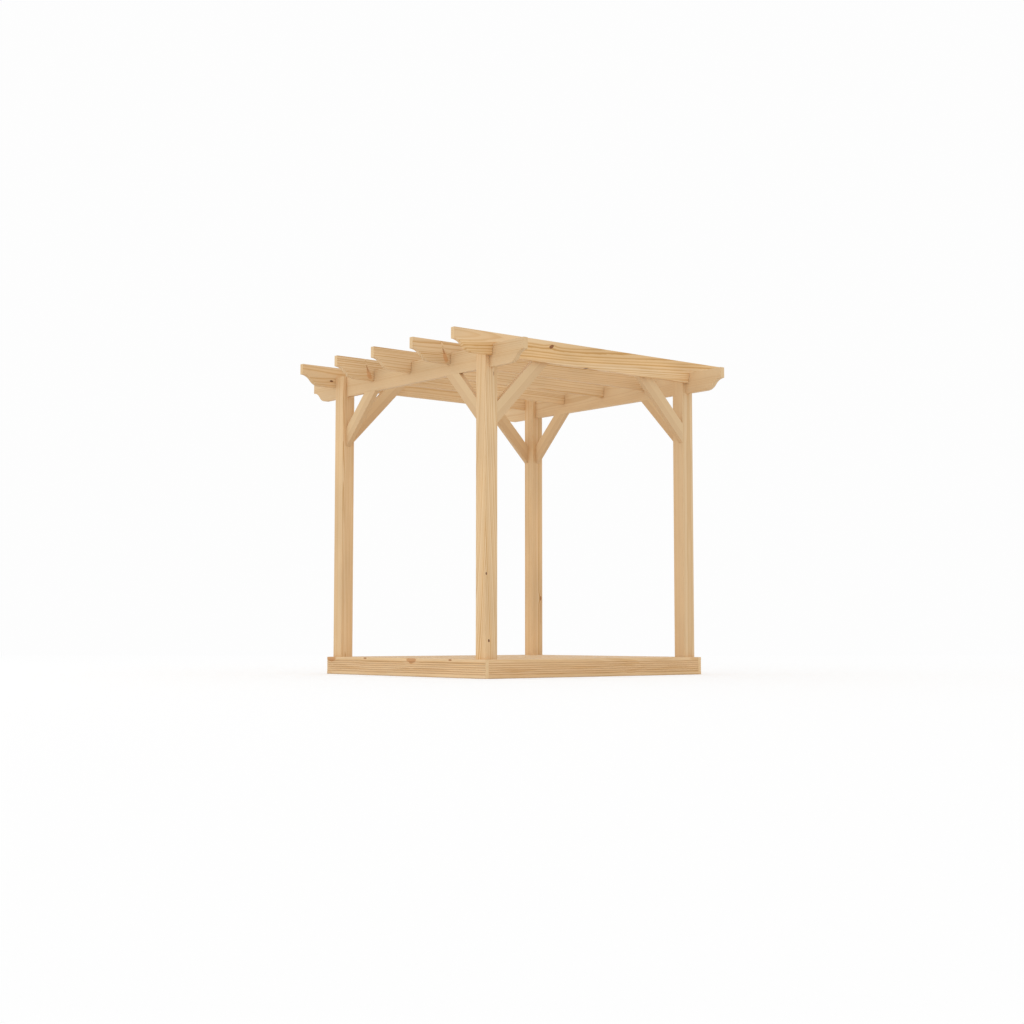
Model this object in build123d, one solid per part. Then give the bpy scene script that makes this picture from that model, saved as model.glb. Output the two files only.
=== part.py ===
from build123d import *
import os

# Wooden garden pergola on a raised deck, in millimetres.
# X runs along the rafters, Y along the beams, Z up. The origin is the centre of the deck on the ground.
# Every timber is planed softwood. Each board, post and brace is a piece of its own, cut as a joiner cuts it.

# Posts and their places
post_side = 97
post_arris_radius = 1.5
post_length = 2000
post_pitch_x = 1770
post_pitch_y = 1642

# Roof timbers, one section for beams and rafters
timber_depth = 145
timber_thickness = 34
timber_length = 2420
rafter_count = 5
fork_play = 1
notch_play = 4

# The scrolled ends of beams and rafters
nose_height = timber_depth / 2
scroll_length = 150

# Knee braces, all at 45 degrees
brace_width = 97
beam_brace_height = 360
rafter_brace_height = 499
brace_lap = 72.5

# Decking boards, used flat for the floor and on edge for the surround
board_width = 120
board_thickness = 28
groove_count = 6
groove_pitch = 14
groove_mouth = 7
groove_floor = 4
groove_depth = 3
board_arris_radius = 3

# Deck
deck_ledge = 36.5
least_board_gap = 5
joist_count = 5
joist_thickness = 45

# Places that follow from the sizes above
post_x = post_pitch_x / 2
post_y = post_pitch_y / 2
post_half = post_side / 2
deck_height = board_width
deck_width = post_pitch_y + post_side + 2 * deck_ledge
deck_inner_x = post_x + post_half
deck_inner_y = deck_width / 2 - board_thickness
deck_board_count = int((2 * deck_inner_y + least_board_gap) // (board_width + least_board_gap))
joist_height = deck_height - board_thickness
post_top = deck_height + post_length
beam_base = post_top - timber_depth
cross_overlap = timber_depth / 2
notch_depth = cross_overlap / 2
rafter_base = post_top - cross_overlap
outer_rafter_y = post_y + post_half + timber_thickness / 2
rafter_pitch = 2 * outer_rafter_y / (rafter_count - 1)
board_gap = (2 * deck_inner_y - deck_board_count * board_width) / (deck_board_count - 1)

SIDES = (-1, 1)


def box_between(x, y, z):
    """A plain block from three (low, high) pairs."""
    block = Box(x[1] - x[0], y[1] - y[0], z[1] - z[0])
    return Pos((x[0] + x[1]) / 2, (y[0] + y[1]) / 2, (z[0] + z[1]) / 2) * block


def scrolled_outline():
    """Side view of a roof timber lying along X, its underside on Z = 0.

    Each end falls square from the top to half depth, then runs inwards in a hollow and a round
    of equal radius that meet on the slope and touch the nose and the underside level.
    """
    rise = timber_depth - nose_height
    half_run = scroll_length / 2
    half_rise = rise / 2
    end = timber_length / 2
    start = end - scroll_length
    # A circle that leaves level and passes through the middle of the scroll
    radius = (half_run**2 + half_rise**2) / (2 * half_rise)
    tip = (end, rise)
    middle = (end - half_run, half_rise)
    foot = (start, 0)
    # The round sits on the underside and the hollow hangs from the nose.
    round_arc = RadiusArc(foot, middle, -radius)
    hollow_arc = RadiusArc(middle, tip, radius)
    right_half = round_arc + hollow_arc + Polyline(tip, (end, timber_depth), (0, timber_depth))
    left_half = mirror(right_half, about=Plane.YZ)
    underside = Line((-start, 0), foot)
    return make_face(right_half + left_half + underside)


def scrolled_timber():
    """A roof timber along X, centred on its thickness, its underside on Z = 0."""
    upright = Plane.XZ.offset(-timber_thickness / 2)
    return extrude(upright * scrolled_outline(), timber_thickness)


def notch_row(places, base):
    """Blocks that cut the crossing notches of a timber lying along X."""
    width = timber_thickness + notch_play
    cuts = []
    for place in places:
        cuts.append(
            box_between(
                (place - width / 2, place + width / 2),
                (-timber_thickness, timber_thickness),
                (base, base + notch_depth),
            )
        )
    return cuts


def rafter_places():
    """Y of each rafter's centre, from the nearest to the farthest."""
    return [-outer_rafter_y + rafter_pitch * i for i in range(rafter_count)]


def rafter():
    """A rafter along X, notched from below over both beams."""
    blank = scrolled_timber()
    return blank - notch_row([side * post_x for side in SIDES], 0)


def beam():
    """A beam along Y, notched from above under every rafter."""
    blank = scrolled_timber() - notch_row(rafter_places(), timber_depth - notch_depth)
    return Rot(0, 0, 90) * blank


def post():
    """A post on its own axis, standing on Z = 0, forked at the top to take a beam along Y."""
    stick = box_between((-post_half, post_half), (-post_half, post_half), (0, post_length))
    slot = timber_thickness + fork_play
    fork = box_between(
        (-slot / 2, slot / 2), (-post_side, post_side), (post_length - timber_depth, post_length)
    )
    corners = stick.edges().filter_by(Axis.Z)
    return fillet(corners, post_arris_radius) - fork


def brace_outline(head, height):
    """A 45 degree brace seen square on, out from a post face at 0, its head cut level at Z = head.

    The foot is cut upright against the post, so both cuts are the board's width times root two.
    """
    cut = brace_width * 2**0.5
    foot = head - height
    low = (0, foot)
    high = (0, foot + cut)
    head_far = (height, head)
    head_near = (height - cut, head)
    return make_face(Polyline(low, head_far, head_near, high, close=True))


def beam_brace(side_x, side_y):
    """A brace from a post's inner face along Y to the underside of the beam, in line with it."""
    plane = Plane.YZ.offset(-timber_thickness / 2)
    plate = extrude(plane * brace_outline(beam_base, beam_brace_height), timber_thickness)
    if side_y > 0:
        plate = mirror(plate, about=Plane.XZ)
    return Pos(side_x * post_x, side_y * (post_y - post_half), 0) * plate


def rafter_brace(side_x, side_y):
    """A brace from a post's inner face along X, flush with the post's outer face.

    Its head laps the inner face of the outer rafter, which lies against that same face.
    """
    plane = Plane.XZ.offset(-timber_thickness / 2)
    head = rafter_base + brace_lap
    plate = extrude(plane * brace_outline(head, rafter_brace_height), timber_thickness)
    if side_x > 0:
        plate = mirror(plate, about=Plane.YZ)
    outer_face = post_y + post_half
    return Pos(side_x * (post_x - post_half), side_y * (outer_face - timber_thickness / 2), 0) * plate


def decking_board(length):
    """A decking board along X, its grooved face up on Z = board_thickness, centred on Y."""
    section = Rectangle(board_width, board_thickness, align=(Align.CENTER, Align.MIN))
    section = fillet(section.vertices().group_by(Axis.Y)[-1], board_arris_radius)
    first = -groove_pitch * (groove_count - 1) / 2
    for i in range(groove_count):
        centre = first + groove_pitch * i
        groove = Polyline(
            (centre - groove_mouth / 2, board_thickness),
            (centre - groove_floor / 2, board_thickness - groove_depth),
            (centre + groove_floor / 2, board_thickness - groove_depth),
            (centre + groove_mouth / 2, board_thickness),
            close=True,
        )
        section -= make_face(groove)
    return Pos(-length / 2, 0, 0) * extrude(Plane.YZ * section, length)


def floor_boards():
    """Decking boards along X between the end fascias, grooves up, with even gaps between them."""
    board = decking_board(2 * deck_inner_x)
    step = board_width + board_gap
    first = -step * (deck_board_count - 1) / 2
    return [Pos(0, first + step * i, joist_height) * board for i in range(deck_board_count)]


def surround_boards():
    """Decking boards on edge round the deck, grooves outwards.

    The two end boards run the whole width and cover the ends of the two side boards.
    """
    side_board = decking_board(2 * deck_inner_x)
    end_board = decking_board(deck_width)
    lift = deck_height / 2
    side_y = deck_inner_y
    side = Pos(0, -side_y, lift) * Rot(90, 0, 0) * side_board
    end = Pos(-deck_inner_x, 0, lift) * Rot(0, 0, -90) * Rot(90, 0, 0) * end_board
    return {
        "side_near": side,
        "side_far": Rot(0, 0, 180) * side,
        "end_left": end,
        "end_right": Rot(0, 0, 180) * end,
    }


def joists():
    """Joists across the floor boards, resting on the ground."""
    half = joist_thickness / 2
    reach = deck_inner_x - half
    step = 2 * reach / (joist_count - 1)
    joist = box_between((-half, half), (-deck_inner_y, deck_inner_y), (0, joist_height))
    return [Pos(step * i - reach, 0, 0) * joist for i in range(joist_count)]


def write(name, shape):
    """One file for one piece, and one line that says what it is."""
    size = shape.bounding_box().size
    export_step(shape, f"parts/{name}.step")
    print(name, round(size.X, 1), round(size.Y, 1), round(size.Z, 1))


def main():
    os.makedirs("parts", exist_ok=True)
    corner_names = {(-1, -1): "near", (-1, 1): "left", (1, -1): "right", (1, 1): "far"}

    forked_post = post()
    for (sx, sy), corner in corner_names.items():
        write(f"post_{corner}", Pos(sx * post_x, sy * post_y, deck_height) * forked_post)

    notched_beam = beam()
    for sx, name in zip(SIDES, ("front", "back")):
        write(f"beam_{name}", Pos(sx * post_x, 0, beam_base) * notched_beam)

    notched_rafter = rafter()
    for i, y in enumerate(rafter_places()):
        write(f"rafter_{i + 1}", Pos(0, y, rafter_base) * notched_rafter)

    for (sx, sy), corner in corner_names.items():
        write(f"beam_brace_{corner}", beam_brace(sx, sy))
        write(f"rafter_brace_{corner}", rafter_brace(sx, sy))

    for name, board in surround_boards().items():
        write(f"fascia_{name}", board)
    for i, board in enumerate(floor_boards()):
        write(f"deck_board_{i + 1:02d}", board)
    for i, joist in enumerate(joists()):
        write(f"joist_{i + 1}", joist)


if __name__ == "__main__":
    main()
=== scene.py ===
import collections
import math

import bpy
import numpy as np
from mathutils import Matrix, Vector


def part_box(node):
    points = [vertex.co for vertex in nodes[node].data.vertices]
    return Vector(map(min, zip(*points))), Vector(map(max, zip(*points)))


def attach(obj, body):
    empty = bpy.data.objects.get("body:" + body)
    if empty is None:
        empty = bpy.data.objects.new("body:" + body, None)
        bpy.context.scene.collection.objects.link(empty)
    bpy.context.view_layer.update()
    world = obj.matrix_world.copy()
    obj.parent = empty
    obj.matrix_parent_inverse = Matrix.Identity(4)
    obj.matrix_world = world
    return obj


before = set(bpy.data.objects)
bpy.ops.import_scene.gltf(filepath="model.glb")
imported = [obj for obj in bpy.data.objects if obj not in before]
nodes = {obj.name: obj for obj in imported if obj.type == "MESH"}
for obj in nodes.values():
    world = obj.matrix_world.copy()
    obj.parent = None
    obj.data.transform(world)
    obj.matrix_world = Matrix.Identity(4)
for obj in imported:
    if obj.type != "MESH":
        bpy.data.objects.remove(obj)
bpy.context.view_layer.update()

# %% [markdown]
# A timber pergola, lesson by lesson
#
# The joinery is already cut: posts with forked tops, beams and rafters with scrolled ends and
# crossing notches, knee braces and grooved decking. This script gives every timber its own piece
# of the tree, eases its sawn corners, sets the screws in the deck and lights the whole softly.
# One unit is one metre, X follows the rafters, Y follows the beams and Z is up.

# %% [markdown]
# The camera
#
# The picture is taken from low down at the corner, with a longish lens. We could eye this in, but
# four things fix it better: where the eye is, which way it turns, how far it tips up and how long
# the lens is. They were found by matching the straight edges of posts, beams, rafters and deck.

# %% Camera at the corner
EYE = (-7.140, -8.724, 0.2685)
TURN_DEGREES = 50.723
TIP_DEGREES = 4.4446
LENS_MM = 55.97
SENSOR_MM = 36.0

camera_data = bpy.data.cameras.new("corner_camera")
camera_data.lens = LENS_MM
camera_data.sensor_width = SENSOR_MM
camera_data.clip_end = 200.0
camera = bpy.data.objects.new("corner_camera", camera_data)
camera.location = EYE
camera.rotation_euler = (math.radians(90 + TIP_DEGREES), 0, math.radians(TURN_DEGREES - 90))
bpy.context.scene.collection.objects.link(camera)
bpy.context.scene.camera = camera
print("camera", EYE, "lens", LENS_MM)

# %% [markdown]
# Which way does each timber run?
#
# Grain follows the length of a board, so before any colour we need a frame for each piece: its
# middle, the direction of its length, of its broad side and of its thickness. A square timber's
# box gives all of it. A brace stands at 45 degrees inside its box, so its length is the diagonal.

# %% The timber's own directions
X, Y, Z = np.eye(3)
ROOT_HALF = math.sqrt(0.5)


def corners_of(name):
    """Lowest and highest corner of a timber, in metres, as arrays."""
    low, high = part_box(name)
    return np.array(low, float), np.array(high, float)


def lie_of(name):
    """(length, breadth, thickness) as unit vectors: the grain, the broad side and through it.

    The brace's grain climbs away from its post, so its level part points to the other post.
    """
    low, high = corners_of(name)
    middle = (low + high) / 2
    if name.startswith("beam_brace"):
        inward = -np.sign(middle[1])
        return (inward * Y + Z) * ROOT_HALF, (Z - inward * Y) * ROOT_HALF, X
    if name.startswith("rafter_brace"):
        inward = -np.sign(middle[0])
        return (inward * X + Z) * ROOT_HALF, (Z - inward * X) * ROOT_HALF, Y
    if name.startswith("post"):
        return Z, X, Y
    order = np.argsort(high - low)
    axes = (X, Y, Z)
    return axes[order[2]], axes[order[1]], axes[order[0]]


lies = {name: lie_of(name) for name in nodes}
print("post grain", lies["post_near"][0], "brace grain", lies["rafter_brace_near"][0].round(3))

# %% [markdown]
# Easing the corners
#
# Planed timber never has a knife edge: a moulder rounds every corner by about a millimetre, and
# that thin round catches the light. We could paint it, but real geometry holds from any side. The
# model's triangles are loose, so they are welded first, and then only the sharp edges are rounded.

# %% Rounded arrises
ARRIS_ROUND = 0.0009
WELD_REACH = 0.00001
SHARP_DEGREES = 32


def ease_corners(piece, reach=ARRIS_ROUND, steps=2):
    """Welds loose triangles and rounds each edge sharper than SHARP_DEGREES with a small arc."""
    weld = piece.modifiers.new("weld", "WELD")
    weld.merge_threshold = WELD_REACH
    bevel = piece.modifiers.new("arris", "BEVEL")
    bevel.width = reach
    bevel.segments = steps
    bevel.limit_method = "ANGLE"
    bevel.angle_limit = math.radians(SHARP_DEGREES)
    bevel.use_clamp_overlap = True
    bevel.harden_normals = True
    return piece


for name, piece in nodes.items():
    ease_corners(piece)
print("eased", len(nodes), "timbers by", ARRIS_ROUND * 1000, "mm")

# %% [markdown]
# Tools for mixing a finish
#
# A finish is a small recipe: take a number, stretch it, mix two colours by it. The same few steps
# come back for every kind of wood, so each gets a short name here. The recipes further down then
# read like a list of steps and not like a wiring plan.

# %% Small helpers for node groups
def new_group(title, inputs, outputs):
    """A shader group with named sockets: inputs are (name, kind, default), outputs (name, kind)."""
    group = bpy.data.node_groups.new(title, "ShaderNodeTree")
    for socket_name, kind, default in inputs:
        socket = group.interface.new_socket(socket_name, in_out="INPUT", socket_type="NodeSocket" + kind)
        socket.default_value = default
    for socket_name, kind in outputs:
        group.interface.new_socket(socket_name, in_out="OUTPUT", socket_type="NodeSocket" + kind)
    start = group.nodes.new("NodeGroupInput")
    finish = group.nodes.new("NodeGroupOutput")
    return group, start, finish


def wire(tree, value, socket):
    """Joins an output to a socket, or writes a plain number or colour on it."""
    if isinstance(value, bpy.types.NodeSocket):
        tree.links.new(value, socket)
    else:
        socket.default_value = value


def math_node(tree, operation, first, second=None, third=None, clamp=False):
    """One Math node, returned as its output."""
    node = tree.nodes.new("ShaderNodeMath")
    node.operation = operation
    node.use_clamp = clamp
    for value, socket in zip((first, second, third), node.inputs):
        if value is not None:
            wire(tree, value, socket)
    return node.outputs[0]


def vector_node(tree, operation, first, second=None, scale=None):
    """One Vector Math node, returned as its vector output."""
    node = tree.nodes.new("ShaderNodeVectorMath")
    node.operation = operation
    wire(tree, first, node.inputs[0])
    if second is not None:
        wire(tree, second, node.inputs[1])
    if scale is not None:
        wire(tree, scale, node.inputs["Scale"])
    return node.outputs["Value"] if operation in ("LENGTH", "DOT_PRODUCT") else node.outputs["Vector"]


def ramp(tree, value, low, high, smooth=True):
    """0 below low, 1 above high, and a smooth climb between them."""
    node = tree.nodes.new("ShaderNodeMapRange")
    node.interpolation_type = "SMOOTHSTEP" if smooth else "LINEAR"
    node.clamp = True
    wire(tree, value, node.inputs["Value"])
    wire(tree, low, node.inputs["From Min"])
    wire(tree, high, node.inputs["From Max"])
    return node.outputs["Result"]


def noise(tree, vector, scale=1.0, detail=2.0, seed=0.0, rough=0.5):
    """Four-way noise, so that each seed is another pattern. Returns (value, colour)."""
    node = tree.nodes.new("ShaderNodeTexNoise")
    node.noise_dimensions = "4D"
    wire(tree, vector, node.inputs["Vector"])
    wire(tree, seed, node.inputs["W"])
    wire(tree, scale, node.inputs["Scale"])
    wire(tree, detail, node.inputs["Detail"])
    wire(tree, rough, node.inputs["Roughness"])
    return node.outputs["Fac"], node.outputs["Color"]


def blend(tree, amount, first, second, mode="MIX"):
    """Mixes two colours."""
    node = tree.nodes.new("ShaderNodeMix")
    node.data_type = "RGBA"
    node.blend_type = mode
    wire(tree, amount, node.inputs[0])
    wire(tree, first, node.inputs[6])
    wire(tree, second, node.inputs[7])
    return node.outputs[2]


# %% [markdown]
# How pine gets its figure
#
# A board is a slice of a log, and a log is a stack of cones: one pale and one dark layer each
# year, round a pith that wanders. If the pattern is worked out in the log instead of drawn on
# the face, the broad side shows arches, the narrow side shows lines and the end shows arcs, and
# they all meet at the corners. The group below does that with the distance from the pith. Dry
# and wet years come in runs, so it also tells how rich in resin the run of years is.

# %% The log: year rings round a wandering pith
def make_rings_group():
    """Ring number = (distance from the pith) / (ring width), shifted by wander and by knots.

    The distance is the root of the squares of breadth and thickness, measured from the pith.
    The pith leans across the board by a steady slope, which turns straight lines into arches.
    The fraction of the ring number is the season: pale at first, dark just before the next.
    A run of rich years lies at Run Distance from the pith, Run Width to either side of it.
    """
    tree, given, result = new_group(
        "year_rings",
        [
            ("Board", "Vector", (0, 0, 0)),
            ("Pith", "Vector", (0, 0, -0.08)),
            ("Ring Width", "Float", 0.005),
            ("Lean", "Vector", (0, 0, 0)),
            ("Heartwood Radius", "Float", 0.06),
            ("Wander", "Float", 0.03),
            ("Push", "Float", 0.0),
            ("Run Distance", "Float", 0.1),
            ("Run Width", "Float", 0.03),
            ("Run Strength", "Float", 0.0),
            ("Seed", "Float", 0.0),
        ],
        [("Late", "Float"), ("Ring Tone", "Float"), ("Years", "Float"), ("Heartwood", "Float")],
    )
    board, pith = given.outputs["Board"], given.outputs["Pith"]
    seed = given.outputs["Seed"]
    slow = vector_node(tree, "MULTIPLY", board, (1.1, 5.0, 5.0))
    _, drift = noise(tree, slow, 1.0, 2.0, seed)
    drift = vector_node(tree, "SUBTRACT", drift, (0.5, 0.5, 0.5))
    drift = vector_node(tree, "SCALE", drift, scale=given.outputs["Wander"])
    along = tree.nodes.new("ShaderNodeSeparateXYZ")
    wire(tree, board, along.inputs[0])
    leaned = vector_node(tree, "SCALE", given.outputs["Lean"], scale=along.outputs[0])
    leaned = vector_node(tree, "ADD", leaned, pith)
    from_pith = vector_node(tree, "ADD", vector_node(tree, "SUBTRACT", board, leaned), drift)
    from_pith = vector_node(tree, "MULTIPLY", from_pith, (0.0, 1.0, 1.0))
    distance = vector_node(tree, "LENGTH", from_pith)
    heart_edge = math_node(tree, "SUBTRACT", given.outputs["Heartwood Radius"], distance)
    number = math_node(tree, "DIVIDE", distance, given.outputs["Ring Width"])
    number = math_node(tree, "ADD", number, given.outputs["Push"])
    # Good and bad years: the rings crowd and spread a little.
    years = tree.nodes.new("ShaderNodeTexNoise")
    years.noise_dimensions = "2D"
    place = tree.nodes.new("ShaderNodeCombineXYZ")
    wire(tree, math_node(tree, "MULTIPLY", number, 0.33), place.inputs[0])
    wire(tree, seed, place.inputs[1])
    wire(tree, place.outputs[0], years.inputs["Vector"])
    years.inputs["Scale"].default_value = 1.0
    number = math_node(tree, "MULTIPLY_ADD", years.outputs["Fac"], 2.6, number)
    off_run = math_node(tree, "SUBTRACT", distance, given.outputs["Run Distance"])
    off_run = math_node(tree, "ABSOLUTE", off_run)
    soft_edge = math_node(tree, "MULTIPLY", given.outputs["Run Width"], 0.6)
    in_run = math_node(tree, "SUBTRACT", ramp(tree, off_run, given.outputs["Run Width"], soft_edge), 0.5)
    in_run = math_node(tree, "MULTIPLY", in_run, given.outputs["Run Strength"])
    richness = math_node(tree, "ADD", years.outputs["Fac"], in_run)
    ripple = vector_node(tree, "MULTIPLY", board, (9.0, 90.0, 90.0))
    shiver, _ = noise(tree, ripple, 1.0, 2.0, seed)
    number = math_node(tree, "MULTIPLY_ADD", shiver, 0.22, number)
    season = math_node(tree, "FRACT", number)
    ring = math_node(tree, "FLOOR", number)
    late = math_node(
        tree, "MULTIPLY", ramp(tree, season, 0.30, 0.92), ramp(tree, season, 1.0, 0.95)
    )
    white = tree.nodes.new("ShaderNodeTexWhiteNoise")
    white.noise_dimensions = "2D"
    seat = tree.nodes.new("ShaderNodeCombineXYZ")
    wire(tree, ring, seat.inputs[0])
    wire(tree, seed, seat.inputs[1])
    wire(tree, seat.outputs[0], white.inputs["Vector"])
    wire(tree, late, result.inputs["Late"])
    wire(tree, white.outputs["Value"], result.inputs["Ring Tone"])
    wire(tree, richness, result.inputs["Years"])
    wire(tree, ramp(tree, heart_edge, -0.004, 0.004), result.inputs["Heartwood"])
    return tree


rings_group = make_rings_group()
print("rings group has", len(rings_group.nodes), "nodes")

# %% [markdown]
# Knots
#
# A knot is a branch that the saw has crossed. It is a dark oval with its own fine rings and a
# rim of bark, and the years flow round it like water round a stone. So the knot group gives three
# things: the wood of the knot, its rim, and a push that bends the year rings nearby.

# %% The knot: oval, rim and the push on the rings
def make_knot_group():
    """Oval distance = root of the sum of squares of (length / half length) and (breadth / half breadth).

    Slant shears the oval along the board and taper widens it to one side, for a knot sawn
    lengthwise. The knot is where the distance is under 1, its rim a band about 1, and the push
    falls off as a bell.
    """
    tree, given, result = new_group(
        "knot",
        [
            ("Board", "Vector", (0, 0, 0)),
            ("Centre", "Vector", (0, 0, 0)),
            ("Half Size", "Vector", (0.01, 0.008, 1.0)),
            ("Slant", "Float", 0.0),
            ("Taper", "Float", 0.0),
            ("Strength", "Float", 2.0),
            ("Seed", "Float", 0.0),
        ],
        [("Knot", "Float"), ("Rim", "Float"), ("Push", "Float"), ("Heart", "Float")],
    )
    board, seed = given.outputs["Board"], given.outputs["Seed"]
    _, wobble = noise(tree, board, 60.0, 1.0, seed)
    wobble = vector_node(tree, "SUBTRACT", wobble, (0.5, 0.5, 0.5))
    away = vector_node(tree, "SUBTRACT", board, given.outputs["Centre"])
    parts = tree.nodes.new("ShaderNodeSeparateXYZ")
    wire(tree, away, parts.inputs[0])
    straight = math_node(tree, "MULTIPLY", parts.outputs[1], given.outputs["Slant"])
    straight = math_node(tree, "SUBTRACT", parts.outputs[0], straight)
    sheared = tree.nodes.new("ShaderNodeCombineXYZ")
    wire(tree, straight, sheared.inputs[0])
    wire(tree, parts.outputs[1], sheared.inputs[1])
    away = vector_node(tree, "DIVIDE", sheared.outputs[0], given.outputs["Half Size"])
    shares = tree.nodes.new("ShaderNodeSeparateXYZ")
    wire(tree, away, shares.inputs[0])
    widen = math_node(tree, "MULTIPLY_ADD", shares.outputs[1], given.outputs["Taper"], 1.0)
    widen = math_node(tree, "MAXIMUM", widen, 0.15)
    spread = tree.nodes.new("ShaderNodeCombineXYZ")
    wire(tree, math_node(tree, "DIVIDE", shares.outputs[0], widen), spread.inputs[0])
    wire(tree, shares.outputs[1], spread.inputs[1])
    away = spread.outputs[0]
    shaken = vector_node(tree, "ADD", away, vector_node(tree, "SCALE", wobble, scale=0.55))
    shaken = vector_node(tree, "MULTIPLY", shaken, (1.0, 1.0, 0.0))
    oval = vector_node(tree, "LENGTH", shaken)
    knot = ramp(tree, oval, 1.08, 0.86)
    rim = math_node(tree, "MULTIPLY", ramp(tree, oval, 0.62, 0.95), ramp(tree, oval, 1.22, 1.0))
    wide = vector_node(tree, "MULTIPLY", away, (0.36, 0.42, 0.0))
    bell = math_node(tree, "POWER", vector_node(tree, "LENGTH", wide), 2.0)
    bell = math_node(tree, "EXPONENT", math_node(tree, "MULTIPLY", bell, -1.0))
    push = math_node(tree, "MULTIPLY", bell, given.outputs["Strength"])
    heart = math_node(tree, "FRACT", math_node(tree, "MULTIPLY", oval, 3.6))
    wire(tree, knot, result.inputs["Knot"])
    wire(tree, rim, result.inputs["Rim"])
    wire(tree, push, result.inputs["Push"])
    wire(tree, heart, result.inputs["Heart"])
    return tree


knot_group = make_knot_group()
print("knot group has", len(knot_group.nodes), "nodes")

# %% [markdown]
# From rings to colour
#
# Fresh pine is cream with honey lines. Four layers make it: the pale wood of spring, the honey of
# late summer, slow changes along a board from cream to tan, and fine fibres that only show close
# up. End grain drinks more finish, and the rubbed corners are a touch paler.

# %% Pine colours and the finish group
SPRING = (0.805, 0.578, 0.338, 1.0)
SUMMER = (0.600, 0.330, 0.115, 1.0)
HONEY = (0.740, 0.430, 0.150, 1.0)
HEARTWOOD = (0.720, 0.440, 0.210, 1.0)
KNOT_LIVE = (0.680, 0.320, 0.120, 1.0)
KNOT_DEAD = (0.210, 0.045, 0.018, 1.0)
KNOT_RIM = (0.090, 0.035, 0.015, 1.0)
END_GRAIN = (0.860, 0.620, 0.350, 1.0)
RUBBED = (0.900, 0.680, 0.400, 1.0)
# Brown for the painted shade in the grooves, and for the darker foot of a board on edge
DARKENING_BROWN = (0.360, 0.180, 0.060, 1.0)


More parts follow.
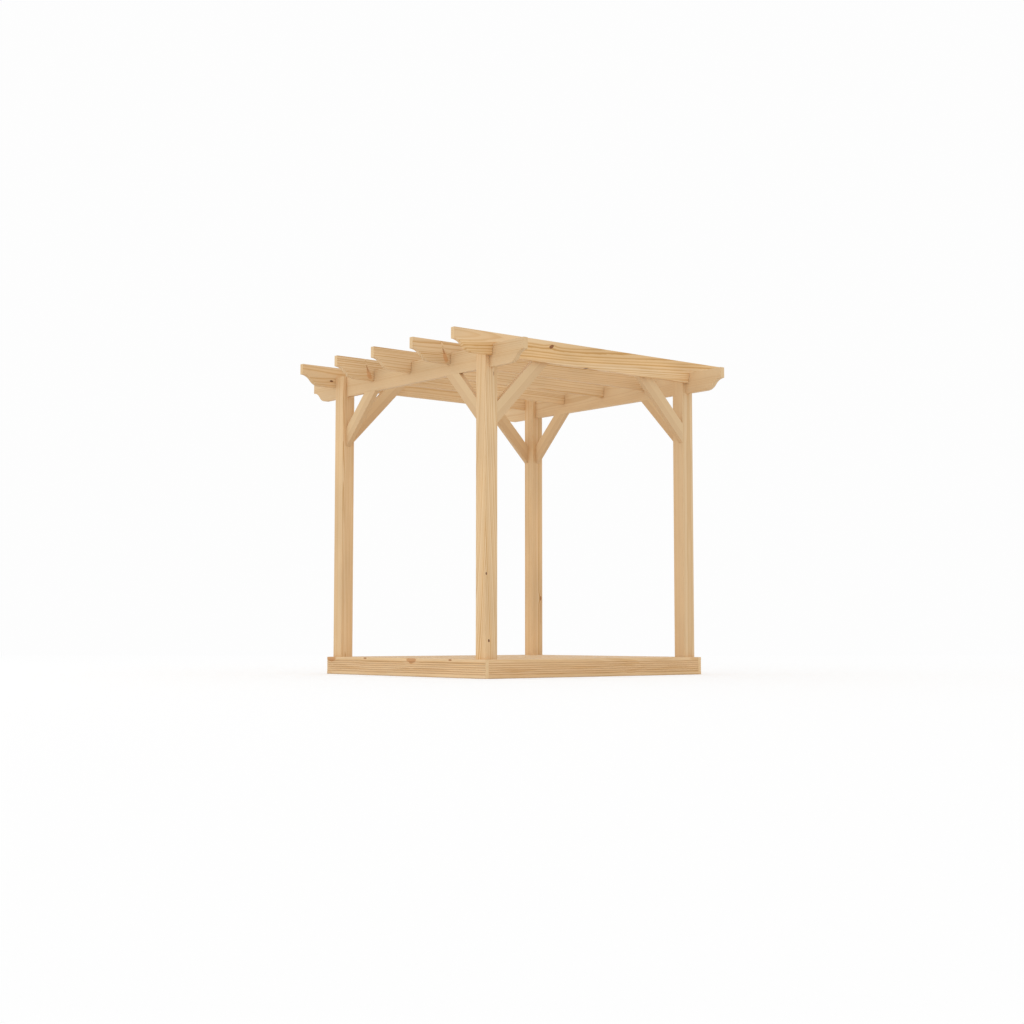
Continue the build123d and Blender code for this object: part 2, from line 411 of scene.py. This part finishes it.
def make_pine_group():
    """Colour = spring wood, then summer lines, honey streaks, fibres, knots, end grain and edges.

    Height follows the same marks, a little lower in the spring wood and along the fibres.
    """
    tree, given, result = new_group(
        "pine_finish",
        [
            ("Board", "Vector", (0, 0, 0)),
            ("Half Size", "Vector", (1, 0.05, 0.02)),
            ("Grain", "Vector", (1, 0, 0)),
            ("Late", "Float", 0.0),
            ("Ring Tone", "Float", 0.0),
            ("Knot", "Float", 0.0),
            ("Rim", "Float", 0.0),
            ("Heart", "Float", 0.0),
            ("Age", "Float", 1.0),
            ("Years", "Float", 0.5),
            ("Heartwood", "Float", 0.0),
            ("Groove", "Float", 0.0),
            ("Foot", "Float", 0.0),
            ("Contrast", "Float", 0.6),
            ("Warmth", "Float", 0.3),
            ("Tone", "Float", 1.0),
            ("Seed", "Float", 0.0),
        ],
        [("Color", "Color"), ("Roughness", "Float"), ("Height", "Float")],
    )
    board, seed = given.outputs["Board"], given.outputs["Seed"]
    streaks, _ = noise(tree, vector_node(tree, "MULTIPLY", board, (1.6, 26.0, 26.0)), 1.0, 2.0, seed)
    clouds, _ = noise(tree, vector_node(tree, "MULTIPLY", board, (2.2, 9.0, 9.0)), 1.0, 1.0, seed)
    fibres, _ = noise(tree, vector_node(tree, "MULTIPLY", board, (14.0, 620.0, 620.0)), 1.0, 3.0, seed)
    rich = math_node(tree, "MULTIPLY", ramp(tree, streaks, 0.46, 0.74), 0.6)
    rich = math_node(tree, "MAXIMUM", rich, ramp(tree, given.outputs["Years"], 0.42, 0.64))
    honey = math_node(tree, "MULTIPLY", rich, given.outputs["Warmth"])
    # Rich years have the darkest lines
    strength = math_node(tree, "MULTIPLY_ADD", given.outputs["Ring Tone"], 0.7, 0.45)
    strength = math_node(tree, "MULTIPLY", strength, math_node(tree, "MULTIPLY_ADD", rich, 0.6, 0.7))
    strength = math_node(tree, "MULTIPLY", strength, given.outputs["Contrast"])
    lines = math_node(tree, "MULTIPLY", given.outputs["Late"], strength, clamp=True)
    base = blend(tree, math_node(tree, "MULTIPLY", given.outputs["Heartwood"], 0.25), SPRING, HEARTWOOD)
    base = blend(tree, honey, base, HONEY)
    base = blend(tree, lines, base, SUMMER)
    uneven = math_node(tree, "MULTIPLY", given.outputs["Contrast"], 0.38)
    shade = math_node(tree, "MULTIPLY_ADD", math_node(tree, "SUBTRACT", clouds, 0.5), uneven, 1.0)
    shade = math_node(tree, "MULTIPLY", shade, math_node(tree, "MULTIPLY_ADD", fibres, 0.16, 0.92))
    shade = math_node(tree, "MULTIPLY", shade, given.outputs["Tone"])
    grey = tree.nodes.new("ShaderNodeCombineXYZ")
    for socket in grey.inputs:
        wire(tree, shade, socket)
    base = blend(tree, 1.0, base, grey.outputs[0], mode="MULTIPLY")
    # Knots: orange while the branch lives, brown in a dark rim once it is dead
    knot_tone = blend(tree, given.outputs["Age"], KNOT_LIVE, KNOT_DEAD)
    ringed = math_node(tree, "MULTIPLY", given.outputs["Heart"], given.outputs["Age"])
    knot_tone = blend(tree, math_node(tree, "MULTIPLY", ringed, 0.5), knot_tone, KNOT_RIM)
    base = blend(tree, given.outputs["Knot"], base, knot_tone)
    base = blend(tree, math_node(tree, "MULTIPLY", given.outputs["Rim"], 0.75), base, KNOT_RIM)
    # End grain, where the face looks along the grain
    coordinates = tree.nodes.new("ShaderNodeTexCoord")
    facing = vector_node(tree, "DOT_PRODUCT", coordinates.outputs["Normal"], given.outputs["Grain"])
    ends = ramp(tree, math_node(tree, "ABSOLUTE", facing), 0.55, 0.95)
    base = blend(tree, math_node(tree, "MULTIPLY", ends, 0.45), base, END_GRAIN)
    # Rubbed corners: the larger of the two distances from the sides of the board's section
    inside = vector_node(tree, "SUBTRACT", given.outputs["Half Size"], vector_node(tree, "ABSOLUTE", board))
    split = tree.nodes.new("ShaderNodeSeparateXYZ")
    wire(tree, inside, split.inputs[0])
    corner = math_node(tree, "MAXIMUM", split.outputs[1], split.outputs[2])
    rubbed = math_node(tree, "MULTIPLY", ramp(tree, corner, 0.0035, 0.0008), 0.30)
    base = blend(tree, rubbed, base, RUBBED)
    # Painted shade in the grooves: darker deep below the broad face, away from its edges
    below_face = ramp(tree, split.outputs[2], 0.0004, 0.0022)
    from_edge = ramp(tree, split.outputs[1], 0.004, 0.006)
    deep = math_node(tree, "MULTIPLY", below_face, from_edge)
    deep = math_node(tree, "MULTIPLY", deep, math_node(tree, "SUBTRACT", 1.0, ends))
    deep = math_node(tree, "MULTIPLY", deep, given.outputs["Groove"])
    base = blend(tree, deep, base, DARKENING_BROWN)
    # A board on edge is darker along its lowest few millimetres
    level = tree.nodes.new("ShaderNodeSeparateXYZ")
    wire(tree, vector_node(tree, "ADD", given.outputs["Half Size"], board), level.inputs[0])
    foot_darkening = math_node(tree, "MULTIPLY", ramp(tree, level.outputs[1], 0.007, 0.002), given.outputs["Foot"])
    base = blend(tree, foot_darkening, base, DARKENING_BROWN)
    rough = math_node(tree, "MULTIPLY_ADD", fibres, 0.12, 0.48)
    rough = math_node(tree, "MULTIPLY_ADD", given.outputs["Late"], -0.06, rough)
    half_fibres = math_node(tree, "MULTIPLY", fibres, 0.5)
    height = math_node(tree, "MULTIPLY_ADD", given.outputs["Late"], 0.5, half_fibres)
    wire(tree, base, result.inputs["Color"])
    wire(tree, rough, result.inputs["Roughness"])
    wire(tree, height, result.inputs["Height"])
    return tree


pine_group = make_pine_group()
print("finish group has", len(pine_group.nodes), "nodes")

# %% [markdown]
# One material for each timber
#
# No two boards come from the same place in the log, so each gets its own material: the same
# groups, set with that board's place, pith, tone and knots. A Mapping node turns the shared
# coordinates into the board's own: first number along the grain, second across the broad side,
# third through the thickness.

# %% The board's own coordinates
def board_mapping(tree, name):
    """Mapping node: the board's directions dotted with (place - middle of the board)."""
    low, high = corners_of(name)
    turn = np.array(lies[name])
    middle = (low + high) / 2
    coordinates = tree.nodes.new("ShaderNodeTexCoord")
    mapping = tree.nodes.new("ShaderNodeMapping")
    mapping.vector_type = "POINT"
    if np.linalg.det(turn) < 0:
        turn[2] = -turn[2]
    mapping.inputs["Rotation"].default_value = Matrix(turn.tolist()).to_euler("XYZ")
    mapping.inputs["Location"].default_value = Vector((-turn @ middle).tolist())
    tree.links.new(coordinates.outputs["Object"], mapping.inputs["Vector"])
    return mapping.outputs["Vector"], turn[0]


BRACE_WIDTH = 0.097


def half_size_of(name):
    """Half the board's length, breadth and thickness along its own directions."""
    low, high = corners_of(name)
    size = high - low
    if "brace" in name:
        thick = float(min(size))
        return (float(max(size)) * math.sqrt(2) / 2, BRACE_WIDTH / 2, thick / 2)
    ordered = sorted(map(float, size), reverse=True)
    return tuple(value / 2 for value in ordered)


# %% [markdown]
# Putting the layers together
#
# On a real board, knots push the rings aside, the rings decide where the honey lies, and the oil
# goes over it all. The material follows that order: knots first, then rings, then the finish.
# A knot is named by where its branch meets the face, and a knot that does not show still bends
# the grain, which is how a board gets a swirl with nothing in it.

# %% One timber's material
BUMP_STRENGTH = 0.25
BUMP_DEPTH = 0.0006
Knot = collections.namedtuple(
    "Knot", "along across length breadth bend age slant taper show", defaults=(1.0, 1.0, 0.0, 0.0, 0.92)
)


def pine_material(name, pith, seed, knots=(), ring=0.005, wander=0.03, lean=(0, 0), heartwood=0.06,
                  contrast=0.6, warmth=0.3, groove=0.0, foot=0.0, tone=1.0, run=(0.1, 0.03, 0.0),
                  gloss=0.15):
    """Pine for one timber.

    A knot's place, half length and half breadth are in metres on the board. Age runs from 0, a
    living orange branch, to 1, a dead one with a rim of bark. Show is how much of it is seen.
    Run is the distance, width and strength of a run of rich years. Gloss is the oil's sheen.
    """
    material = bpy.data.materials.new("pine_" + name)
    material.use_nodes = True
    tree = material.node_tree
    shader = tree.nodes["Principled BSDF"]
    board, grain = board_mapping(tree, name)
    push = mask = rim = heart = age = 0.0
    for i, spot in enumerate(knots):
        knot = tree.nodes.new("ShaderNodeGroup")
        knot.node_tree = knot_group
        wire(tree, board, knot.inputs["Board"])
        knot.inputs["Centre"].default_value = (spot.along, spot.across, 0)
        knot.inputs["Half Size"].default_value = (spot.length, spot.breadth, 1)
        knot.inputs["Slant"].default_value = spot.slant
        knot.inputs["Taper"].default_value = spot.taper
        knot.inputs["Strength"].default_value = spot.bend
        knot.inputs["Seed"].default_value = seed + i
        push = math_node(tree, "ADD", push, knot.outputs["Push"])
        seen_knot = math_node(tree, "MULTIPLY", knot.outputs["Knot"], spot.show)
        aged_knot = math_node(tree, "MULTIPLY", knot.outputs["Knot"], spot.age)
        dark_rim = math_node(tree, "MULTIPLY", knot.outputs["Rim"], spot.show * spot.age**2)
        mask = math_node(tree, "MAXIMUM", mask, seen_knot)
        age = math_node(tree, "MAXIMUM", age, aged_knot)
        rim = math_node(tree, "MAXIMUM", rim, dark_rim)
        heart = math_node(tree, "MAXIMUM", heart, knot.outputs["Heart"])
    rings = tree.nodes.new("ShaderNodeGroup")
    rings.node_tree = rings_group
    finish = tree.nodes.new("ShaderNodeGroup")
    finish.node_tree = pine_group
    ring_values = {
        "Board": board, "Pith": pith, "Lean": (0, *lean), "Heartwood Radius": heartwood,
        "Ring Width": ring, "Wander": wander, "Seed": seed, "Push": push,
        "Run Distance": run[0], "Run Width": run[1], "Run Strength": run[2],
    }
    finish_values = {
        "Board": board, "Half Size": half_size_of(name), "Grain": tuple(map(float, grain)),
        "Knot": mask, "Rim": rim, "Heart": heart, "Age": age, "Contrast": contrast,
        "Warmth": warmth, "Groove": groove, "Foot": foot, "Tone": tone, "Seed": seed,
    }
    for label in ("Late", "Ring Tone", "Years", "Heartwood"):
        finish_values[label] = rings.outputs[label]
    for group_node, values in ((rings, ring_values), (finish, finish_values)):
        for label, value in values.items():
            wire(tree, value, group_node.inputs[label])
    bump = tree.nodes.new("ShaderNodeBump")
    bump.inputs["Strength"].default_value = BUMP_STRENGTH
    bump.inputs["Distance"].default_value = BUMP_DEPTH
    tree.links.new(finish.outputs["Color"], shader.inputs["Base Color"])
    tree.links.new(finish.outputs["Roughness"], shader.inputs["Roughness"])
    tree.links.new(finish.outputs["Height"], bump.inputs["Height"])
    tree.links.new(bump.outputs["Normal"], shader.inputs["Normal"])
    shader.inputs["Specular IOR Level"].default_value = gloss
    return material


def wear(name, material):
    """Gives a timber its material."""
    piece = nodes[name]
    piece.data.materials.clear()
    piece.data.materials.append(material)


# %% [markdown]
# Choosing the boards
#
# A yard sends a mixed stack. Each board draws its pith, ring width and tone from a seeded dice,
# so the stack is the same every time. Boards that the picture shows close get their knots listed
# one by one, where they are on the real ones.

# %% Dressing the stack
dice = np.random.default_rng(7)
# Strength of the painted shade in the grooves of deck and fascia boards
GROOVE_SHADE = 0.32
# How much darker a fascia board is along its lowest few millimetres
FOOT_DARKENING = 0.45
DECK_GLOSS, TIMBER_GLOSS = 0.50, 0.15
LOOKS = {
    "post": {"contrast": (0.80, 1.00), "warmth": (0.0, 0.15), "tone": (0.96, 1.00)},
    "beam": {"contrast": (0.50, 0.65), "warmth": (0.05, 0.15), "tone": (0.94, 0.97)},
    "rafter": {"contrast": (0.85, 1.10), "warmth": (0.0, 0.12), "tone": (0.99, 1.02)},
    "brace": {"contrast": (0.04, 0.08), "warmth": (0.0, 0.05), "tone": (0.92, 0.94)},
    "fascia": {"contrast": (0.45, 0.65), "warmth": (0.0, 0.10), "tone": (1.03, 1.06)},
    "deck": {"contrast": (0.45, 0.70), "warmth": (0.0, 0.15), "tone": (0.98, 1.03)},
    "joist": {"contrast": (0.60, 0.85), "warmth": (0.10, 0.30), "tone": (0.88, 0.92)},
}
SPIKE = [
    Knot(-0.949, -0.022, 0.016, 0.044, bend=0.8, age=0.08, slant=-0.32, taper=-0.75, show=0.62),
    Knot(-0.960, 0.006, 0.006, 0.022, bend=0.0, age=0.45, slant=-0.35, show=0.70),
]
HAND_KNOTS = {
    "rafter_1": [
        Knot(-0.409, 0.036, 0.016, 0.013, bend=0.4, age=0.70, slant=0.6),
        Knot(-0.095, -0.0738, 0.011, 0.0032, bend=0.0),
        Knot(-0.700, 0.045, 0.110, 0.050, bend=1.3, age=0.0, show=0.0),
    ],
    "rafter_2": SPIKE,
    "rafter_4": SPIKE,
    "rafter_5": [Knot(-0.969, -0.028, 0.013, 0.006, bend=0.6)],
    "post_near": [
        Knot(-0.461, -0.0405, 0.009, 0.005, bend=0.3),
        Knot(-0.883, -0.019, 0.009, 0.006, bend=0.6),
        Knot(0.815, 0.018, 0.014, 0.004, bend=0.0, age=0.7, show=0.5),
    ],
    "post_far": [
        Knot(-0.560, 0.030, 0.018, 0.009, bend=1.0, age=0.45),
        Knot(-0.660, 0.033, 0.110, 0.004, bend=0.0, age=0.3, show=0.5),
    ],
    "fascia_end_left": [
        Knot(0.850, 0.045, 0.052, 0.019, age=0.12, taper=0.45, show=0.75),
        Knot(-0.115, 0.044, 0.052, 0.019, age=0.12, taper=0.45, show=0.75),
        Knot(0.428, 0.055, 0.018, 0.006, bend=0.8, age=0.35),
        Knot(-0.542, 0.053, 0.018, 0.006, bend=0.8, age=0.35),
    ],
}
# Timbers that get no drawn knots, because the real ones show none
PLAIN = ("post_left", "post_right", "beam_front", "beam_back", "fascia_side_near")
HAND_FIGURE = {
    "rafter_1": {"pith": (0, 0.085, -0.045), "lean": (0.045, -0.03), "ring": 0.015, "wander": 0.010,
                 "run": (0.090, 0.055, 0.22), "warmth": 0.42, "contrast": 0.90,
                 "heartwood": 0.040, "tone": 1.09, "seed": 11.0},
    "rafter_2": {"pith": (0, 0.110, -0.070), "lean": (0.030, 0.0), "wander": 0.020, "heartwood": 0.0,
                 "ring": 0.011, "contrast": 0.80, "tone": 0.98},
    "rafter_3": {"pith": (0, -0.090, -0.080), "lean": (0.012, 0.0), "wander": 0.020, "heartwood": 0.0,
                 "ring": 0.010, "contrast": 0.85, "seed": 41.0},
    "rafter_4": {"pith": (0, 0.100, -0.080), "lean": (0.0, 0.0), "wander": 0.020, "heartwood": 0.0,
                 "ring": 0.010},
    "post_near": {"pith": (0, 0.080, 0.090), "lean": (-0.047, 0.0), "ring": 0.0065, "wander": 0.010,
                  "run": (0.187, 0.008, 0.50), "warmth": 0.14, "contrast": 1.0,
                  "heartwood": 0.0, "tone": 1.045},
    "post_left": {"warmth": 0.0, "heartwood": 0.0, "tone": 1.045},
    "post_right": {"pith": (0, 0.010, 0.150), "lean": (0.0, 0.0), "wander": 0.006, "warmth": 0.0,
                   "contrast": 0.30, "heartwood": 0.0, "tone": 0.99},
    "post_far": {"pith": (0, 0.070, 0.090), "lean": (0.002, 0.0), "wander": 0.010, "warmth": 0.10,
                 "contrast": 0.90, "heartwood": 0.0, "tone": 1.02},
    "rafter_5": {"pith": (0, 0.020, -0.110), "lean": (0.010, 0.0), "wander": 0.015, "warmth": 0.30,
                 "contrast": 0.75, "heartwood": 0.0, "tone": 0.98},
    "beam_front": {"pith": (0, 0.095, 0.060), "lean": (0.010, 0.0), "wander": 0.015,
                   "contrast": 0.62, "warmth": 0.05, "tone": 0.98},
    "beam_back": {"contrast": 0.30, "warmth": 0.0, "tone": 0.98},
    "fascia_side_near": {"groove": 0.20},
    "fascia_end_left": {"pith": (0, -0.055, 0.090), "lean": (0.004, 0.0), "wander": 0.020,
                        "warmth": 0.0, "tone": 1.07},
}


def draw_knots(name, count):
    """A few knots at random places on a board."""
    half = half_size_of(name)
    found = []
    for _ in range(count):
        along = dice.uniform(-0.9, 0.9) * half[0]
        across = dice.uniform(-0.8, 0.8) * half[1]
        radius = dice.uniform(0.003, 0.008)
        long = radius * dice.uniform(1.0, 1.5)
        found.append(Knot(along, across, long, radius, dice.uniform(0.8, 2.0), dice.uniform(0.4, 1.0)))
    return found


def look_of(name):
    """The kind of timber, from its name."""
    if "brace" in name:
        return LOOKS["brace"]
    return LOOKS[name.split("_")[0]]


for name in sorted(nodes):
    look = look_of(name)
    side = dice.choice((-1.0, 1.0))
    drawn = draw_knots(name, int(dice.integers(0, 3)))
    figure = {
        "pith": (0.0, dice.uniform(-0.04, 0.04), side * dice.uniform(0.04, 0.14)),
        "seed": dice.uniform(0, 90),
        "knots": () if "brace" in name or name in PLAIN else drawn,
        "ring": dice.uniform(0.0045, 0.0080),
        "wander": dice.uniform(0.02, 0.045),
        "lean": (dice.uniform(-0.03, 0.03), dice.uniform(-0.03, 0.03)),
        "heartwood": 1.0 if "brace" in name else dice.uniform(0.03, 0.12),
        "groove": GROOVE_SHADE if name.startswith(("fascia", "deck")) else 0.0,
        "foot": FOOT_DARKENING if name.startswith("fascia") else 0.0,
        "gloss": DECK_GLOSS if name.startswith("deck") else TIMBER_GLOSS,
    }
    figure.update({label: dice.uniform(*spread) for label, spread in look.items()})
    figure.update(HAND_FIGURE.get(name, {}))
    if name in HAND_KNOTS:
        figure["knots"] = HAND_KNOTS[name]
    wear(name, pine_material(name, **figure))
print("dressed", len(nodes), "timbers")

# %% [markdown]
# Screws in the deck
#
# Decking is held down by two screws at every joist. A head is a low dome with a star recess, so
# it is one profile turned round an axis, repeated. It stands less than a millimetre proud, as
# heads do in soft wood. Those under a post's foot are left out, since the posts stand over them.

# %% Screw heads
SCREW_RADIUS = 0.0042
SCREW_SIDES = 16
SCREW_INSET = 0.014


def turned_head(centres, sides=SCREW_SIDES, radius=SCREW_RADIUS):
    """Turns a domed profile with a recess round the upright axis at each centre.

    Ring k of the profile has radius r_k and height z_k; point j of it stands at the angle
    2 pi j / sides, and every second point of the recess is drawn in, which makes the star.
    """
    profile_r = np.array([1.0, 0.93, 0.50, 0.44, 0.0001]) * radius
    profile_z = np.array([-0.0003, 0.0005, 0.0008, 0.0001, 0.0001])
    angle = np.arange(sides) * 2 * np.pi / sides
    pull = np.where(np.arange(sides) % 2 == 0, 1.0, 0.78)
    star = np.array([0.0, 0.0, 1.0, 1.0, 0.0])[:, None]
    reach = profile_r[:, None] * (1 - star + star * pull[None, :])
    ring = np.stack(
        (reach * np.cos(angle), reach * np.sin(angle), np.repeat(profile_z[:, None], sides, axis=1)), axis=-1
    )
    points = (centres[:, None, None, :] + ring[None]).reshape(-1, 3)
    rows = len(profile_r)
    k, j = np.meshgrid(np.arange(rows - 1), np.arange(sides), indexing="ij")
    across = (j + 1) % sides
    low_ring, high_ring = k * sides, (k + 1) * sides
    quad = np.stack((low_ring + j, low_ring + across, high_ring + across, high_ring + j), axis=-1)
    quads = quad.reshape(-1, 4)
    faces = (quads[None] + (np.arange(len(centres)) * rows * sides)[:, None, None]).reshape(-1, 4)
    return points, faces


deck_boards = sorted(name for name in nodes if name.startswith("deck_board"))
joists = sorted(name for name in nodes if name.startswith("joist"))
board_y = np.array([np.mean([corner[1] for corner in corners_of(name)]) for name in deck_boards])
joist_x = np.array([np.mean([corner[0] for corner in corners_of(name)]) for name in joists])
deck_top = corners_of(deck_boards[0])[1][2]
board_half = half_size_of(deck_boards[0])[1]
row_y = (board_y[:, None] + np.array([-1, 1])[None, :] * (board_half - SCREW_INSET)).ravel()
grid_x, grid_y = np.meshgrid(joist_x, row_y)
centres = np.stack((grid_x.ravel(), grid_y.ravel(), np.full(grid_x.size, deck_top)), axis=-1)
post_low, post_high = corners_of("post_far")
under_post = (np.abs(centres[:, 0]) > post_low[0] - 0.01) & (np.abs(centres[:, 1]) > post_low[1] - 0.01)
under_post &= np.abs(centres[:, 1]) < post_high[1] + 0.01
centres = centres[~under_post]
points, faces = turned_head(centres)
screw_mesh = bpy.data.meshes.new("deck_screws")
screw_mesh.from_pydata(points, [], faces.tolist())
screw_mesh.validate()
screws = bpy.data.objects.new("deck_screws", screw_mesh)
bpy.context.scene.collection.objects.link(screws)
# The two inner rings of each head are the recess and take the second material.
ring_of_face = (np.arange(len(faces)) // SCREW_SIDES) % 4
screw_mesh.polygons.foreach_set("material_index", (ring_of_face >= 2).astype(np.int32))
print("deck screws:", len(centres), "faces:", len(screw_mesh.polygons))

# %% [markdown]
# Steel for the screws
#
# Outdoor screws are stainless, dull from the driver and the weather. A metal with uneven
# roughness reads as that. Sawdust and dirt settle in the recess, so it gets a dull brown.

# %% Screw steel
steel = bpy.data.materials.new("stainless_steel")
steel.use_nodes = True
steel_tree = steel.node_tree
steel_shader = steel_tree.nodes["Principled BSDF"]
steel_place = steel_tree.nodes.new("ShaderNodeTexCoord")
scuffs, _ = noise(steel_tree, steel_place.outputs["Object"], 900.0, 2.0, 3.0)
steel_colour = blend(steel_tree, scuffs, (0.62, 0.60, 0.57, 1), (0.42, 0.38, 0.33, 1))
steel_tree.links.new(steel_colour, steel_shader.inputs["Base Color"])
steel_rough = math_node(steel_tree, "MULTIPLY_ADD", scuffs, 0.3, 0.3)
steel_tree.links.new(steel_rough, steel_shader.inputs["Roughness"])
steel_shader.inputs["Metallic"].default_value = 1.0
dirt = bpy.data.materials.new("recess_dirt")
dirt.use_nodes = True
dirt_tree = dirt.node_tree
dirt_shader = dirt_tree.nodes["Principled BSDF"]
dirt_place = dirt_tree.nodes.new("ShaderNodeTexCoord")
specks, _ = noise(dirt_tree, dirt_place.outputs["Object"], 1500.0, 2.0, 5.0)
dirt_colour = blend(dirt_tree, specks, (0.10, 0.07, 0.045, 1), (0.22, 0.15, 0.09, 1))
dirt_tree.links.new(dirt_colour, dirt_shader.inputs["Base Color"])
dirt_shader.inputs["Roughness"].default_value = 0.9
screw_mesh.materials.append(steel)
screw_mesh.materials.append(dirt)
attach(screws, "root")

# %% [markdown]
# The white floor
#
# The pergola stands on white with hardly a shadow. The floor is pale paint that keeps the contact
# shadow under the deck, and a glow that only the camera sees lifts it to white. It is turned with
# the view, so that its far edge is a level line behind the deck.

# %% Floor
FLOOR_LIFT = 0.215
FLOOR_PAINT = (0.85, 0.85, 0.85, 1)
FLOOR_BACK, FLOOR_FRONT, FLOOR_HALF = -20.0, 22.0, 40.0
ahead = np.array([math.cos(math.radians(TURN_DEGREES)), math.sin(math.radians(TURN_DEGREES)), 0.0])
aside = np.array([ahead[1], -ahead[0], 0.0])
eye_foot = np.array([EYE[0], EYE[1], 0.0])
floor_corners = [
    eye_foot + ahead * far + aside * wide
    for far, wide in (
        (FLOOR_BACK, -FLOOR_HALF), (FLOOR_BACK, FLOOR_HALF),
        (FLOOR_FRONT, FLOOR_HALF), (FLOOR_FRONT, -FLOOR_HALF),
    )
]
floor_mesh = bpy.data.meshes.new("floor")
floor_mesh.from_pydata([corner.tolist() for corner in floor_corners], [], [(0, 1, 2, 3)])
floor = bpy.data.objects.new("floor", floor_mesh)
bpy.context.scene.collection.objects.link(floor)
floor_material = bpy.data.materials.new("white_floor")
floor_material.use_nodes = True
floor_tree = floor_material.node_tree
floor_tree.nodes.clear()
floor_out = floor_tree.nodes.new("ShaderNodeOutputMaterial")
paint = floor_tree.nodes.new("ShaderNodeBsdfDiffuse")
paint.inputs["Color"].default_value = FLOOR_PAINT
lift = floor_tree.nodes.new("ShaderNodeEmission")
seen = floor_tree.nodes.new("ShaderNodeLightPath")
glow = math_node(floor_tree, "MULTIPLY", seen.outputs["Is Camera Ray"], FLOOR_LIFT)
wire(floor_tree, glow, lift.inputs["Strength"])
both = floor_tree.nodes.new("ShaderNodeAddShader")
floor_tree.links.new(paint.outputs[0], both.inputs[0])
floor_tree.links.new(lift.outputs[0], both.inputs[1])
floor_tree.links.new(both.outputs[0], floor_out.inputs["Surface"])
floor_mesh.materials.append(floor_material)

# %% [markdown]
# The soft light
#
# The sky is one even white all round, so nothing has a hard shadow. A soft panel, about three
# times as wide as the pergola, stands well off to the left and a little to the front. It leaves
# the faces on that side slightly lighter and lets every corner read.

# %% Sky and the soft panel
SKY_LIGHT = 0.910
SKY_SEEN = 0.985
PANEL_PLACE = (-9.0, 4.0, 2.0)
PANEL_AIM = (0, 0, 1.0)
PANEL_WIDE, PANEL_HIGH = 7.0, 5.0
PANEL_WATTS = 63.0
world = bpy.data.worlds.new("soft_sky")
bpy.context.scene.world = world
world.use_nodes = True
sky_tree = world.node_tree
sky_tree.nodes.clear()
sky_out = sky_tree.nodes.new("ShaderNodeOutputWorld")
sky = sky_tree.nodes.new("ShaderNodeBackground")
ray = sky_tree.nodes.new("ShaderNodeLightPath")
strength = math_node(sky_tree, "MULTIPLY_ADD", ray.outputs["Is Camera Ray"], SKY_SEEN - SKY_LIGHT, SKY_LIGHT)
wire(sky_tree, strength, sky.inputs["Strength"])
sky.inputs["Color"].default_value = (1, 1, 1, 1)
sky_tree.links.new(sky.outputs[0], sky_out.inputs["Surface"])

panel_data = bpy.data.lights.new("left_panel", "AREA")
panel_data.shape = "RECTANGLE"
panel_data.size = PANEL_WIDE
panel_data.size_y = PANEL_HIGH
panel_data.energy = PANEL_WATTS
panel = bpy.data.objects.new("left_panel", panel_data)
panel.location = PANEL_PLACE
toward = Vector(PANEL_AIM) - Vector(PANEL_PLACE)
panel.rotation_euler = toward.to_track_quat("-Z", "Y").to_euler()
bpy.context.scene.collection.objects.link(panel)
bpy.context.scene.view_settings.view_transform = "Standard"

# %% [markdown]
# Last measurements
# The end
# The dressed model must stay the size that the joinery was cut to.


print("end of the pergola script")
